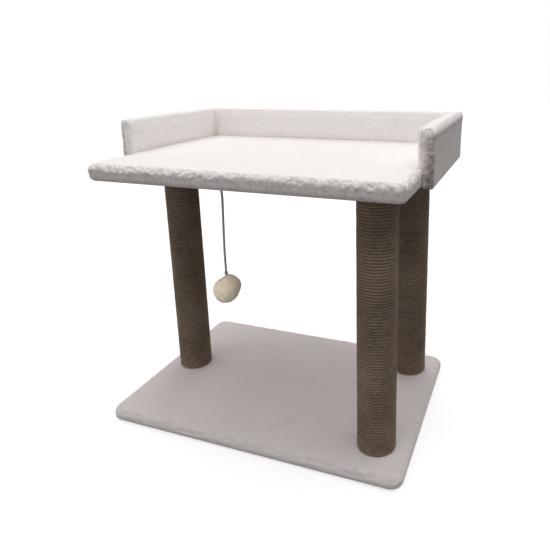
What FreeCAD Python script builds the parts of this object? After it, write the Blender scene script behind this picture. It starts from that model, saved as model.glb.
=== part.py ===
import FreeCAD, Part
import math
import os

# Cat scratching post: a plush-covered base, three rope-wound posts, a plush platform with a low wall
# on three sides, and a ball on a cord under it. Millimetres, +Z up. The origin is the middle of the
# base's underside, +X runs to the right and +Y to the back wall.

V = FreeCAD.Vector
UP = V(0, 0, 1)

# Base, over its plush
base_width = 556.0
base_depth = 382.0
base_corner_radius = 22.0
base_board_thickness = 15.0
base_pile = 4.0
base_side_pile = 4.0
base_edge_round = 6.0
base_hem_round = 2.5
base_long_shares = (0.08, 0.29, 0.5, 0.71, 0.92)
base_side_shares = (0.2, 0.5, 0.8)

# Posts: how far their middles stand in from the base's edges
post_height = 435.0
left_inset = 56.0
right_inset = 59.0
front_inset = 71.0
back_inset = 65.0
tube_diameter = 55.0
tube_wall = 2.9
plug_height = 30.0
plug_fit = 0.1

# Platform: its plush ends over the base's edges on three sides, and nearer to its post on the left
platform_left_inset = 38.0
platform_corner_radius = 12.0
platform_board_thickness = 18.0
platform_pile = 9.0
platform_side_pile = 5.0
platform_edge_round = 8.0
platform_hem_round = 6.0
platform_long_shares = (0.08, 0.29, 0.5, 0.71, 0.92)
platform_side_shares = (0.13, 0.34, 0.66, 0.87)

# Turned-under hems and the sheets between them
hem_thickness = 3.0
hem_width = 30.0
sheet_gap = 0.5

# Rope winding: the outer turns, drawn as 24 loops over a plain core
rope_diameter = 5.0
rope_loops = 24
rope_bedding = 0.1
winding_fit = 0.1
winding_end_gap = 1.0
core_depth_share = 0.5

# Wall round the platform, over its plush
wall_height = 91.0
wall_side_length = 294.0
wall_board_thickness = 12.0
wall_pile = 3.0
wall_edge_round = 7.0
wall_foot_round = 4.0
wall_inner_pad = 8.0
wall_pad_gap = 0.3
wall_seam_width = 5.0
wall_seam_end = 12.0

# Bolts from below and studs above, with their nuts
thread_diameter = 8.0
thread_fit = 0.1
thread_end = 1.6
bolt_head_diameter = 16.0
bolt_head_height = 5.0
bolt_key_size = 5.0
bolt_key_depth = 3.0
washer_diameter = 21.0
washer_thickness = 1.6
bolt_hole_fit = 0.5
counterbore_fit = 1.5
counterbore_cover = 0.6
insert_diameter = 12.0
insert_length = 15.0
tee_flange_diameter = 22.0
tee_flange_thickness = 1.5
tee_barrel_diameter = 11.0
tee_barrel_length = 10.0
stud_top_gap = 1.0

# Hem staples
staple_crown = 10.0
staple_leg = 8.0
staple_wire_width = 1.2
staple_wire_thickness = 0.7
staple_sink = 0.5

# Countersunk screws of the wall
screw_length = 40.0
screw_diameter = 4.0
screw_head_diameter = 8.0
screw_head_height = 2.4
screw_fit = 0.1
corner_screw_inset = 14.0
side_screw_shares = (0.2, 0.62, 0.9)
back_screw_shares = (0.15, 0.38, 0.62, 0.85)

# Toy: staple, cord loop with its knot, cord, ball
toy_from_left_post = 151.2
toy_from_front_edge = 101.0
toy_staple_wire = 1.6
toy_staple_width = 11.0
toy_staple_leg = 12.0
cord_diameter = 4.0
toy_gap = 0.3
loop_leg = 4.0
knot_diameter = 10.0
ball_diameter = 50.0
cord_in_ball = 8.0
ball_cover_thickness = 4.0
ball_hole_fit = 0.2

# The cord's route: offsets from the toy's axis, and distances below the knot's lower end
cord_route = [
    (0.3, 0.2, 0.0),
    (0.7, -0.3, 24.0),
    (0.8, 0.4, 69.0),
    (-0.7, -0.2, 116.0),
    (-0.4, 0.1, 147.5),
    (0.0, 0.0, 170.0),
]
run_end_share = 0.45

overrun = 1.0
touch = 0.001

# Levels and middles that follow from the sizes
base_board_bottom = hem_thickness
base_board_top = base_board_bottom + base_board_thickness
base_top = base_board_top + base_pile
platform_bottom = base_top + post_height
platform_board_bottom = platform_bottom + hem_thickness
platform_board_top = platform_board_bottom + platform_board_thickness
platform_top = platform_board_top + platform_pile
base_right = base_width / 2
base_back = base_depth / 2
left_post_x = -base_right + left_inset
right_post_x = base_right - right_inset
front_post_y = -base_back + front_inset
back_post_y = base_back - back_inset
posts = {
    "left": (left_post_x, (front_post_y + back_post_y) / 2),
    "front_right": (right_post_x, front_post_y),
    "back_right": (right_post_x, back_post_y),
}
platform_left = left_post_x - platform_left_inset
platform_right = base_right
platform_front = -base_back
platform_back = base_back
wall_thickness = wall_board_thickness + 2 * wall_pile
wall_top = platform_bottom + wall_height
wall_left = platform_left - wall_thickness
wall_right = platform_right + wall_thickness
wall_back = platform_back + wall_thickness
wall_front = wall_back - wall_side_length

nodes = {}


def slab(x0, x1, y0, y1, z0, z1, corner=0.0):
    """A board on the row's axes, with round corners in plan."""
    if corner == 0:
        return Part.makeBox(x1 - x0, y1 - y0, z1 - z0, V(x0, y0, z0))
    middles = [(x1 - corner, y1 - corner), (x0 + corner, y1 - corner),
               (x0 + corner, y0 + corner), (x1 - corner, y0 + corner)]
    arcs = []
    for quarter, (x, y) in enumerate(middles):
        angles = [math.pi / 2 * (quarter + share) for share in (0, 0.5, 1)]
        arcs.append([V(x + corner * math.cos(a), y + corner * math.sin(a), z0) for a in angles])
    edges = []
    for arc, next_arc in zip(arcs, arcs[1:] + arcs[:1]):
        edges.append(Part.Arc(*arc).toShape())
        edges.append(Part.LineSegment(arc[2], next_arc[0]).toShape())
    return Part.Face(Part.Wire(edges)).extrude(V(0, 0, z1 - z0))


def edges_at(shape, z):
    """The edges that lie flat at one height."""
    boxes = [(edge, edge.BoundBox) for edge in shape.Edges]
    return [edge for edge, box in boxes if abs(box.ZMin - z) < touch and abs(box.ZMax - z) < touch]


def rod(radius, start, length, direction=UP):
    return Part.makeCylinder(radius, length, start, direction)


def pipe(path, radius, start, tangent):
    """A round tube along a wire of tangent lines and arcs."""
    ring = Part.Wire([Part.Circle(start, tangent, radius).toShape()])
    shell = Part.BRepOffsetAPI.MakePipeShell(path)
    shell.add(ring, False, False)
    shell.build()
    shell.makeSolid()
    return shell.shape()


def group(shapes):
    return Part.makeCompound(shapes)


# Base and platform: boards, plush with hems, sheets and staples

def hem_staple_places(x0, x1, y0, y1, long_shares, side_shares):
    """Middle points of the staples along a hem, with the way each crown runs."""
    inset = hem_width / 2
    places = []
    for share in long_shares:
        x = x0 + (x1 - x0) * share
        places.append((x, y0 + inset, False))
        places.append((x, y1 - inset, False))
    for share in side_shares:
        y = y0 + (y1 - y0) * share
        places.append((x0 + inset, y, True))
        places.append((x1 - inset, y, True))
    return places


def hem_staple(x, y, z, along_y):
    """One staple from below, its crown sunk in the hem at height z."""
    crown_x = staple_wire_width if along_y else staple_crown
    crown_y = staple_crown if along_y else staple_wire_width
    crown = Part.makeBox(crown_x, crown_y, staple_wire_thickness, V(x - crown_x / 2, y - crown_y / 2, z))
    leg_x = staple_wire_width if along_y else staple_wire_thickness
    leg_y = staple_wire_thickness if along_y else staple_wire_width
    far = (staple_crown - staple_wire_thickness) / 2
    legs = []
    for side in (-1, 1):
        px = x - leg_x / 2 + (0 if along_y else side * far)
        py = y - leg_y / 2 + (side * far if along_y else 0)
        legs.append(Part.makeBox(leg_x, leg_y, staple_leg, V(px, py, z)))
    return crown.fuse(legs).removeSplitter()


def hem_staple_slot(x, y, z, along_y, floor):
    """The dent that the crown leaves in the hem."""
    crown_x = staple_wire_width if along_y else staple_crown
    crown_y = staple_crown if along_y else staple_wire_width
    start = V(x - crown_x / 2, y - crown_y / 2, floor - overrun)
    return Part.makeBox(crown_x, crown_y, z - start.z, start)


def covered_board(x0, x1, y0, y1, bottom, board_thickness, pile, side, corner, edge_round, hem_round, places):
    """A board, the plush round it, the sheet under it and the staples of its hem."""
    board_bottom = bottom + hem_thickness
    board_top = board_bottom + board_thickness
    inner = (x0 + side, x1 - side, y0 + side, y1 - side)
    board = slab(*inner, board_bottom, board_top, corner - side)
    plush = slab(x0, x1, y0, y1, bottom, board_top + pile, corner)
    plush = plush.makeFillet(edge_round, edges_at(plush, board_top + pile))
    plush = plush.makeFillet(hem_round, edges_at(plush, bottom))
    plush = plush.cut(board)
    opening = [inner[0] + hem_width, inner[1] - hem_width, inner[2] + hem_width, inner[3] - hem_width]
    plush = plush.cut(slab(*opening, bottom - overrun, board_bottom))
    gaps = (sheet_gap, -sheet_gap, sheet_gap, -sheet_gap)
    sheet = slab(*[edge + gap for edge, gap in zip(opening, gaps)], bottom, board_bottom)
    crown_z = bottom + staple_sink
    staples = [hem_staple(x, y, crown_z, along) for x, y, along in places(*inner)]
    slots = [hem_staple_slot(x, y, crown_z, along, bottom) for x, y, along in places(*inner)]
    plush = plush.cut(group(staples + slots))
    board = board.cut(group(staples))
    return board, plush, sheet, group(staples)


base_board, base_plush, base_sheet, base_staples = covered_board(
    -base_right, base_right, -base_back, base_back, 0.0,
    base_board_thickness, base_pile, base_side_pile, base_corner_radius, base_edge_round, base_hem_round,
    lambda *inner: hem_staple_places(*inner, base_long_shares, base_side_shares))

platform_board, platform_plush, platform_sheet, platform_staples = covered_board(
    platform_left, platform_right, platform_front, platform_back, platform_bottom,
    platform_board_thickness, platform_pile, platform_side_pile, platform_corner_radius, platform_edge_round,
    platform_hem_round,
    lambda *inner: hem_staple_places(*inner, platform_long_shares, platform_side_shares))


# Fasteners of the posts

def hexagon(size, start, depth):
    """A hexagon prism, measured across its flats."""
    radius = size / math.sqrt(3)
    corners = [start + V(radius * math.cos(a), radius * math.sin(a), 0)
               for a in [math.radians(60 * k) for k in range(7)]]
    return Part.Face(Part.makePolygon(corners)).extrude(V(0, 0, depth))


thread_radius = thread_diameter / 2
bolt_hole_radius = thread_radius + bolt_hole_fit
head_bottom = base_board_bottom + counterbore_cover
washer_bottom = head_bottom + bolt_head_height
washer_top = washer_bottom + washer_thickness
bolt_top = base_top + insert_length + thread_end
stud_top = platform_board_top - stud_top_gap
stud_bottom = platform_bottom - insert_length - thread_end
tee_flange_bottom = platform_board_top - tee_flange_thickness
bolts = []
washers = []
lower_inserts = []
upper_inserts = []
studs = []
tee_nuts = []
for name, (x, y) in posts.items():
    head = rod(bolt_head_diameter / 2, V(x, y, head_bottom), bolt_head_height)
    shank = rod(thread_radius, V(x, y, washer_bottom), bolt_top - washer_bottom)
    key = hexagon(bolt_key_size, V(x, y, head_bottom - overrun), bolt_key_depth + overrun)
    bolts.append(head.fuse(shank).cut(key))
    washer = rod(washer_diameter / 2, V(x, y, washer_bottom), washer_thickness)
    bolt_hole = rod(bolt_hole_radius, V(x, y, -overrun), base_top + 2 * overrun)
    washers.append(washer.cut(bolt_hole))
    base_plush = base_plush.cut(bolt_hole)
    base_board = base_board.cut(bolt_hole)
    counterbore = rod(washer_diameter / 2 + counterbore_fit, V(x, y, -overrun), washer_top + overrun)
    base_board = base_board.cut(counterbore)
    base_sheet = base_sheet.cut(counterbore)

    for z, store in ((base_top, lower_inserts), (platform_bottom - insert_length, upper_inserts)):
        insert = rod(insert_diameter / 2, V(x, y, z), insert_length)
        insert_bore = rod(thread_radius + thread_fit, V(x, y, z - overrun), insert_length + 2 * overrun)
        store.append(insert.cut(insert_bore))

    studs.append(rod(thread_radius, V(x, y, stud_bottom), stud_top - stud_bottom))
    flange = rod(tee_flange_diameter / 2, V(x, y, tee_flange_bottom), tee_flange_thickness)
    barrel = rod(tee_barrel_diameter / 2, V(x, y, tee_flange_bottom - tee_barrel_length), tee_barrel_length)
    tee_body = flange.fuse(barrel)
    tee_bore = rod(thread_radius + thread_fit, V(x, y, platform_bottom - overrun),
                   platform_top - platform_bottom)
    tee_nuts.append(tee_body.cut(tee_bore))
    stud_hole = rod(bolt_hole_radius, V(x, y, platform_bottom - overrun),
                    tee_flange_bottom - platform_bottom + overrun)
    platform_board = platform_board.cut(tee_body).cut(stud_hole)
    platform_sheet = platform_sheet.cut(stud_hole)
    platform_plush = platform_plush.cut(stud_hole)

nodes["base_bolts"] = group(bolts)
nodes["base_washers"] = group(washers)
nodes["post_lower_inserts"] = group(lower_inserts)
nodes["post_upper_inserts"] = group(upper_inserts)
nodes["post_studs"] = group(studs)
nodes["platform_tee_nuts"] = group(tee_nuts)


# Rope winding

def arc_through(start, corner, end):
    """The arc from start to end whose end tangents meet at corner."""
    chord_middle = (start + end) * 0.5
    half_chord = (end - start).Length / 2
    height = (corner - chord_middle).Length
    turn = 2 * math.atan2(height, half_chord)
    bulge = half_chord * math.tan(turn / 4)
    return Part.Arc(start, chord_middle + (corner - chord_middle) * (bulge / height), end).toShape()


def biarc(start, start_tangent, end, end_tangent):
    """Two arcs that leave start and reach end along the given unit tangents."""
    span = end - start
    tangents = start_tangent + end_tangent
    a = 4 - tangents.dot(tangents)
    b = span.dot(tangents)
    reach = (math.sqrt(b * b + a * span.dot(span)) - b) / a
    first_corner = start + start_tangent * reach
    second_corner = end - end_tangent * reach
    joint = (first_corner + second_corner) * 0.5
    return [arc_through(start, first_corner, joint), arc_through(joint, second_corner, end)]


def winding():
    """The rope on a post that stands at the origin, from z = 0 to the post's height."""
    bore_radius = tube_diameter / 2 + winding_fit
    radius = bore_radius + rope_bedding + rope_diameter / 2
    first = rope_diameter / 2 + winding_end_gap
    pitch = (post_height - 2 * first) / rope_loops
    steps_per_loop = 2

    def point(step):
        angle = 2 * math.pi * step / steps_per_loop
        return V(radius * math.cos(angle), radius * math.sin(angle), first + pitch * step / steps_per_loop)

    def tangent(step):
        angle = 2 * math.pi * step / steps_per_loop
        way = V(-radius * math.sin(angle), radius * math.cos(angle), pitch / (2 * math.pi))
        return way.normalize()

    edges = []
    for step in range(rope_loops * steps_per_loop):
        edges += biarc(point(step), tangent(step), point(step + 1), tangent(step + 1))
    path = Part.Wire(edges)
    rope = pipe(path, rope_diameter / 2, point(0), tangent(0))
    section = math.pi * rope_diameter ** 2 / 4
    print("rope volume", round(rope.Volume), "section times length", round(section * path.Length))
    points_per_arc = 9
    samples = [edge.discretize(points_per_arc)[:-1] for edge in edges]
    edges_per_loop = 2 * steps_per_loop
    least = min((p - q).Length
                for k in range(len(edges) - edges_per_loop)
                for p in samples[k]
                for j in range(k + edges_per_loop - 1, min(k + edges_per_loop + 2, len(edges)))
                for q in samples[j])
    print("rope's least gap to itself", round(least - rope_diameter, 2), "at pitch", round(pitch, 2))
    core = rod(radius + rope_diameter / 2 * core_depth_share, V(0, 0, 0), post_height)
    core = core.cut(rod(bore_radius, V(0, 0, -overrun), post_height + 2 * overrun))
    return core.fuse(rope)


post_winding = winding()
plug_radius = tube_diameter / 2 - tube_wall - plug_fit
for name, (x, y) in posts.items():
    foot = V(x, y, base_top)
    tube = rod(tube_diameter / 2, foot, post_height)
    tube = tube.cut(rod(tube_diameter / 2 - tube_wall, foot - UP * overrun, post_height + 2 * overrun))
    nodes["post_" + name + "_tube"] = tube
    rope = post_winding.copy()
    rope.translate(foot)
    nodes["post_" + name + "_rope"] = rope
    bore = rod(bolt_hole_radius, foot - UP * overrun, post_height + 2 * overrun)
    lower = rod(plug_radius, foot, plug_height).cut(bore)
    lower = lower.cut(rod(insert_diameter / 2, foot, insert_length))
    nodes["post_" + name + "_lower_plug"] = lower
    upper = rod(plug_radius, foot + UP * (post_height - plug_height), plug_height).cut(bore)
    upper = upper.cut(rod(insert_diameter / 2, foot + UP * (post_height - insert_length), insert_length))
    nodes["post_" + name + "_upper_plug"] = upper


# Wall: three boards, each with wadding on its inside above the platform and its own plush round both,
# screwed to the platform board's edges

def screw(point, way, fit=0.0):
    """A countersunk screw whose flat head lies at point and which runs along way."""
    head = Part.makeCone(screw_head_diameter / 2 + fit, screw_diameter / 2 + fit, screw_head_height, point, way)
    shank = Part.makeCylinder(screw_diameter / 2 + fit, screw_length, point, way)
    return head.fuse(shank)


screw_z = (platform_board_bottom + platform_board_top) / 2
corner_screw_levels = (platform_top + corner_screw_inset, wall_top - corner_screw_inset)
board_front = wall_front + wall_pile
board_back = wall_back - wall_pile
board_low = platform_bottom + wall_pile
board_high = wall_top - wall_pile
edge_round = min(wall_edge_round, (wall_thickness - wall_pile) / 2)
pad_bottom = platform_top + wall_pad_gap
wadding_bottom = pad_bottom + wall_pile
side_walls = {
    "left": (wall_left, platform_left, platform_left + wall_inner_pad),
    "right": (platform_right, wall_right, platform_right - wall_inner_pad),
}
wall_screws = []
corner_screws = []
screw_holes = []
back_middle_y = platform_back + wall_thickness / 2
for side, (x0, x1, pad_x) in side_walls.items():
    head_x = x0 + wall_pile if side == "left" else x1 - wall_pile
    way = V(1, 0, 0) if side == "left" else V(-1, 0, 0)
    for share in side_screw_shares:
        place = V(head_x, board_front + (platform_back - board_front) * share, screw_z)
        wall_screws.append(screw(place, way))
        screw_holes.append(screw(place, way, screw_fit))
    for level in corner_screw_levels:
        place = V(head_x, back_middle_y, level)
        corner_screws.append(screw(place, way))
        screw_holes.append(screw(place, way, screw_fit))
for share in back_screw_shares:
    place = V(platform_left + (platform_right - platform_left) * share, board_back, screw_z)
    wall_screws.append(screw(place, V(0, -1, 0)))
    screw_holes.append(screw(place, V(0, -1, 0), screw_fit))
nodes["wall_screws"] = group(wall_screws)
nodes["wall_corner_screws"] = group(corner_screws)
holes = group(screw_holes)


def long_edges_at(shape, z):
    """The edges along the back wall at one height."""
    return [edge for edge in edges_at(shape, z) if edge.BoundBox.XLength > wall_height]


for side, (x0, x1, pad_x) in side_walls.items():
    board = slab(x0 + wall_pile, x1 - wall_pile, board_front, board_back, board_low, board_high)
    foot = slab(x0, x1, wall_front, wall_back, platform_bottom, wall_top)
    foot = foot.makeFillet(edge_round, [edge for edge in foot.Edges if edge.BoundBox.ZMax > board_low])
    foot = foot.makeFillet(wall_foot_round, edges_at(foot, platform_bottom))
    pad = slab(min(x0, pad_x), max(x1, pad_x), wall_front, platform_back - wall_pad_gap, pad_bottom, wall_top)
    pad = pad.makeFillet(edge_round, pad.Edges)
    plush = foot.fuse(pad).removeSplitter()
    inner_x = x1 - wall_pile if side == "left" else pad_x + wall_pile
    wadding = slab(inner_x, inner_x + wall_inner_pad, board_front, platform_back - wall_pad_gap - wall_pile,
                   wadding_bottom, board_high)
    plush = plush.cut(board).cut(wadding)
    middle_x = (x0 + x1) / 2
    seam = slab(middle_x - wall_seam_width / 2, middle_x + wall_seam_width / 2, wall_front + wall_seam_end,
                wall_back - wall_seam_end, platform_bottom - overrun, board_low)
    nodes["wall_" + side + "_board"] = board.cut(holes)
    nodes["wall_" + side + "_plush"] = plush.cut(seam).cut(holes)
    nodes["wall_" + side + "_wadding"] = wadding

back_board = slab(platform_left, platform_right, platform_back + wall_pile, board_back, board_low, board_high)
back_foot = slab(platform_left, platform_right, platform_back, wall_back, platform_bottom, wall_top)
back_foot = back_foot.makeFillet(edge_round, long_edges_at(back_foot, wall_top))
back_foot = back_foot.makeFillet(wall_foot_round, long_edges_at(back_foot, platform_bottom))
pad_left = platform_left + wall_inner_pad + wall_pad_gap
pad_right = platform_right - wall_inner_pad - wall_pad_gap
back_pad = slab(pad_left, pad_right, platform_back - wall_inner_pad, wall_back, pad_bottom, wall_top)
back_pad = back_pad.makeFillet(edge_round, long_edges_at(back_pad, wall_top))
back_pad = back_pad.makeFillet(edge_round, long_edges_at(back_pad, pad_bottom))
back_wadding = slab(pad_left + wall_pile, pad_right - wall_pile, platform_back - wall_inner_pad + wall_pile,
                    platform_back + wall_pile, wadding_bottom, board_high)
back_plush = back_foot.fuse(back_pad).removeSplitter().cut(back_board).cut(back_wadding)
back_seam = slab(platform_left + wall_seam_end, platform_right - wall_seam_end,
                 back_middle_y - wall_seam_width / 2, back_middle_y + wall_seam_width / 2,
                 platform_bottom - overrun, board_low)
nodes["wall_back_wadding"] = back_wadding
nodes["wall_back_board"] = back_board.cut(holes)
nodes["wall_back_plush"] = back_plush.cut(back_seam).cut(holes)
platform_board = platform_board.cut(holes)
platform_plush = platform_plush.cut(holes)


# Toy: it hangs from a staple under the platform

toy_x = left_post_x + toy_from_left_post
toy_y = platform_front + toy_from_front_edge
toy_wire_radius = toy_staple_wire / 2
cord_radius = cord_diameter / 2
knot_radius = knot_diameter / 2
crown_z = platform_bottom - toy_gap - cord_diameter - toy_gap - toy_wire_radius
loop_radius = toy_wire_radius + toy_gap + cord_radius
knot_z = crown_z - loop_leg - knot_radius
knot_bottom = knot_z - knot_radius - toy_gap
half_crown = toy_staple_width / 2

crown = rod(toy_wire_radius, V(toy_x - half_crown, toy_y, crown_z), toy_staple_width, V(1, 0, 0))
leg_top = platform_board_bottom + toy_staple_leg
legs = []
for side in (-1, 1):
    leg_x = toy_x + side * half_crown
    legs.append(rod(toy_wire_radius, V(leg_x, toy_y, crown_z), leg_top - crown_z))
    legs.append(Part.makeSphere(toy_wire_radius, V(leg_x, toy_y, crown_z)))
toy_staple = crown.fuse(legs)
nodes["toy_staple"] = toy_staple
platform_board = platform_board.cut(toy_staple)
platform_sheet = platform_sheet.cut(toy_staple)

knot_middle = V(toy_x, toy_y, knot_z)
near = V(toy_x, toy_y - loop_radius, knot_z)
near_top = V(toy_x, toy_y - loop_radius, crown_z)
over = V(toy_x, toy_y, crown_z + loop_radius)
far_top = V(toy_x, toy_y + loop_radius, crown_z)
far = V(toy_x, toy_y + loop_radius, knot_z)
loop_path = Part.Wire([Part.LineSegment(near, near_top).toShape(), Part.Arc(near_top, over, far_top).toShape(),
                       Part.LineSegment(far_top, far).toShape()])
nodes["toy_loop"] = pipe(loop_path, cord_radius, near, UP).fuse(Part.makeSphere(knot_radius, knot_middle))


def rounded_route(points):
    """Straight runs joined by tangent arcs, each as large as its two runs allow."""
    edges = []
    start = points[0]
    for before, corner, after in zip(points, points[1:], points[2:]):
        way_in = (corner - before).normalize()
        way_out = (after - corner).normalize()
        turn = way_in.getAngle(way_out)
        shorter = min((corner - before).Length, (after - corner).Length)
        reach = run_end_share * shorter
        print("cord arc radius", round(reach / math.tan(turn / 2)))
        arc_start = corner - way_in * reach
        arc_end = corner + way_out * reach
        edges.append(Part.LineSegment(start, arc_start).toShape())
        edges.append(arc_through(arc_start, corner, arc_end))
        start = arc_end
    edges.append(Part.LineSegment(start, points[-1]).toShape())
    return Part.Wire(edges)


route = [V(toy_x + dx, toy_y + dy, knot_bottom - below) for dx, dy, below in cord_route]
cord_path = rounded_route(route)
toy_cord = pipe(cord_path, cord_radius, route[0], (route[1] - route[0]).normalize())
print("cord length", round(cord_path.Length, 1), "volume", round(toy_cord.Volume, 1),
      "section times length", round(math.pi * cord_radius ** 2 * cord_path.Length, 1))
nodes["toy_cord"] = toy_cord

cord_end = route[-1]
ball_middle = cord_end - UP * (ball_diameter / 2 - cord_in_ball)
end_knot_drop = math.sqrt(knot_radius ** 2 - cord_radius ** 2)
end_knot_middle = cord_end - UP * end_knot_drop
end_knot = Part.makeSphere(knot_radius, end_knot_middle)
end_knot = end_knot.cut(rod(knot_radius, cord_end, knot_diameter))
nodes["toy_end_knot"] = end_knot
cord_way = (route[-1] - route[-2]).normalize()
cord_hole = rod(cord_radius + ball_hole_fit, cord_end - cord_way * ball_diameter, ball_diameter, cord_way)
pocket = Part.makeSphere(knot_radius + ball_hole_fit, end_knot_middle)
core_radius = ball_diameter / 2 - ball_cover_thickness
ball_core = Part.makeSphere(core_radius, ball_middle)
ball_cover = Part.makeSphere(ball_diameter / 2, ball_middle).cut(ball_core)
nodes["toy_ball_core"] = ball_core.cut(group([cord_hole, pocket]))
nodes["toy_ball_cover"] = ball_cover.cut(cord_hole)

nodes["base_board"] = base_board
nodes["base_plush"] = base_plush
nodes["base_backing"] = base_sheet
nodes["base_staples"] = base_staples
nodes["platform_board"] = platform_board
nodes["platform_plush"] = platform_plush
nodes["platform_lining"] = platform_sheet
nodes["platform_staples"] = platform_staples

os.makedirs("parts", exist_ok=True)
for name, shape in nodes.items():
    if not shape.isValid():
        print("not valid:", name)
    shape.exportStep("parts/" + name + ".step")
print(len(nodes), "nodes,", sum(len(shape.Solids) for shape in nodes.values()), "solids")
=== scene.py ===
import math
import random

import bmesh
import bpy
from mathutils import Matrix, Vector, kdtree, noise


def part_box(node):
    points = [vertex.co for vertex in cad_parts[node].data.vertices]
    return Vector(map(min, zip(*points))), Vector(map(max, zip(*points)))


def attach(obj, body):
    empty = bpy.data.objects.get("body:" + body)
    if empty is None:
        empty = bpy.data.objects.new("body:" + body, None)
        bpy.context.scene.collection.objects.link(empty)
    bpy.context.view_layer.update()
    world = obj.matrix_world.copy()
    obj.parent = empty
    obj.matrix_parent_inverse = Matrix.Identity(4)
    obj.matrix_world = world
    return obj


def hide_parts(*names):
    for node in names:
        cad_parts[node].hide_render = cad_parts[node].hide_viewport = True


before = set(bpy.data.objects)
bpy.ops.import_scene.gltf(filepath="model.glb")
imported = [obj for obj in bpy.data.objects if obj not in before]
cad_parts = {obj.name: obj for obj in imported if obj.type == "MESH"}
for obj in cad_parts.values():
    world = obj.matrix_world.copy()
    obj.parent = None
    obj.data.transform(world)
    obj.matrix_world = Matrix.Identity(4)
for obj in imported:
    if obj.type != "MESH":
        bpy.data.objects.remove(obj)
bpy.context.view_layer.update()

# Cat scratching post: fleece-covered base, three rope-wound posts, fleece-covered platform with a low
# wall on three sides, and a fleece ball on a cord. Metres, +Z up, +X right, +Y towards the back wall.

scene = bpy.context.scene
mm = 0.001
random.seed(7)
noise.seed_set(7)


def size_of(node):
    """The lowest and the highest corner of a CAD node."""
    low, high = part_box(node)
    return Vector(low), Vector(high)


def put_in(name, data):
    """A new object in the scene."""
    made = bpy.data.objects.new(name, data)
    scene.collection.objects.link(made)
    return made


def mesh_of(bm, name="work"):
    """A mesh with the shape of a bmesh, which is freed."""
    mesh = bpy.data.meshes.new(name)
    bm.to_mesh(mesh)
    bm.free()
    return mesh


def as_seen(piece):
    """The object as its modifiers or its curve leave it."""
    return piece.evaluated_get(bpy.context.evaluated_depsgraph_get())


# Camera, fitted to the edges in the photograph
photo_width = 550
focal_px = 525.29
centre_px = (344.83, 197.03)
view_azimuth = math.radians(19.74)
view_pitch = math.radians(13.87)
view_roll = math.radians(-0.6)
camera_place = Vector((0.42870, -0.84837, 0.63585))

forward = Vector((-math.sin(view_azimuth) * math.cos(view_pitch),
                  math.cos(view_azimuth) * math.cos(view_pitch), -math.sin(view_pitch)))
level_right = Vector((math.cos(view_azimuth), math.sin(view_azimuth), 0))
level_up = level_right.cross(forward)
right = level_right * math.cos(view_roll) + level_up * math.sin(view_roll)
up = right.cross(forward)
camera_data = bpy.data.cameras.new("camera")
camera_data.sensor_fit = "HORIZONTAL"
camera_data.sensor_width = 36
camera_data.lens = focal_px / photo_width * camera_data.sensor_width
camera_data.shift_x = 0.5 - centre_px[0] / photo_width
camera_data.shift_y = centre_px[1] / photo_width - 0.5
camera_data.clip_end = 50
camera = put_in("camera", camera_data)
camera.matrix_world = Matrix.Translation(camera_place) @ Matrix((right, up, -forward)).transposed().to_4x4()
scene.camera = camera


# Materials

def paint(code):
    """An sRGB hex colour as the linear colour that a shader takes."""
    parts = [int(code[k:k + 2], 16) / 255 for k in (1, 3, 5)]
    return [p / 12.92 if p <= 0.04045 else ((p + 0.055) / 1.055) ** 2.4 for p in parts] + [1.0]


def fill(tree, node, inputs):
    """Gives each input its value, or links it to the socket, or to the first socket of the node, that it
    comes from."""
    for key, value in inputs.items():
        if isinstance(value, bpy.types.Node):
            value = value.outputs[0]
        if isinstance(value, bpy.types.NodeSocket):
            tree.links.new(value, node.inputs[key])
        else:
            node.inputs[key].default_value = value


def add(tree, kind, inputs=None, stops=(), **settings):
    """One node with its settings and its inputs. Stops are the places and colours of a colour ramp."""
    made = tree.nodes.new(kind)
    for key, value in settings.items():
        setattr(made, key, value)
    fill(tree, made, inputs or {})
    if stops:
        marks = made.color_ramp.elements
        marks.remove(marks[1])
        marks[0].position, marks[0].color = stops[0]
        for share, colour in stops[1:]:
            marks.new(share).color = colour
    return made


def finish_named(name):
    """A new material, its node tree, its shader and its Object coordinates."""
    made = bpy.data.materials.new(name)
    made.use_nodes = True
    tree = made.node_tree
    return made, tree, tree.nodes["Principled BSDF"], add(tree, "ShaderNodeTexCoord").outputs["Object"]


def per(length):
    """The scale at which a pattern repeats about once in a length in millimetres."""
    return 1 / (length * mm)


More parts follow.
